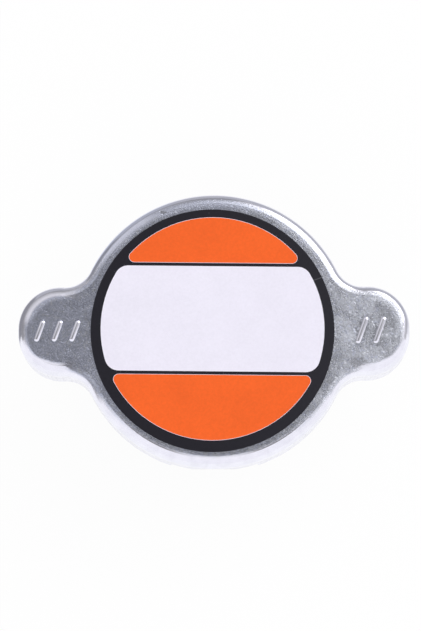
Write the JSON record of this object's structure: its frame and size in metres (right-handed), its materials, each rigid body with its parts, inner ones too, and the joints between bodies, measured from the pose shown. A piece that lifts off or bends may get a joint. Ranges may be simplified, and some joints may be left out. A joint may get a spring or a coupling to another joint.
{
  "type": "radiator cap",
  "caption": "Pressed-metal radiator cap with finger ears, a bayonet skirt, a banded label, a top gasket and a sprung pressure valve that carries a vacuum valve.",
  "frame": {"origin": "centre of the box's base, on the lower face of the valve seal and on the cap's axis", "axes": "+X along the ears towards the ear with fewer ribs, +Z along the cap's axis towards the label"},
  "size_m": [0.0668, 0.047, 0.0247],
  "materials": {
    "zinc_sheet": "bright zinc plate with scuffs and fine spangle",
    "label_ground": "semi-gloss printed film",
    "label_orange": "semi-gloss print",
    "label_white": "semi-gloss print",
    "plated_steel": "zinc plate",
    "spring_steel": "bright rolled strip",
    "gasket_rubber": "matt moulded rubber",
    "bell_metal": "drawn and plated sheet",
    "spring_wire": "hard-drawn wire",
    "seal_rubber": "matt moulded rubber",
    "valve_brass": "turned brass"
  },
  "bodies": {
    "shell": {"cap_shell": "zinc_sheet", "face_label": "label_ground", "label_orange_fields": "label_orange", "label_white_field": "label_white", "centre_rivet": "plated_steel"},
    "carrier": {"valve_bell": "bell_metal", "spring_disc": "spring_steel", "top_gasket": "gasket_rubber", "pressure_spring": "spring_wire"},
    "pressure_valve": {"spring_cup": "plated_steel", "valve_plate": "plated_steel", "valve_seal": "seal_rubber", "vacuum_spring": "spring_wire"},
    "vacuum_valve": {"vacuum_valve": "valve_brass", "vacuum_washer": "valve_brass"}
  },
  "joints": [
    {"name": "shell_swivel", "type": "hinge", "parent": "shell", "child": "carrier", "pos_m": [0, 0, 0.02], "axis": [0, 0, 1], "continuous": true},
    {"name": "pressure_lift", "type": "slide", "parent": "carrier", "child": "pressure_valve", "axis": [0, 0, 1], "range_m": [0, 0.0025], "stiffness_N_per_m": 6000, "deforming": ["pressure_spring"]},
    {"name": "vacuum_drop", "type": "slide", "parent": "pressure_valve", "child": "vacuum_valve", "axis": [0, 0, -1], "range_m": [0, 0.0015], "stiffness_N_per_m": 150, "springref_m": -0.0004, "deforming": ["vacuum_spring"]}
  ]
}
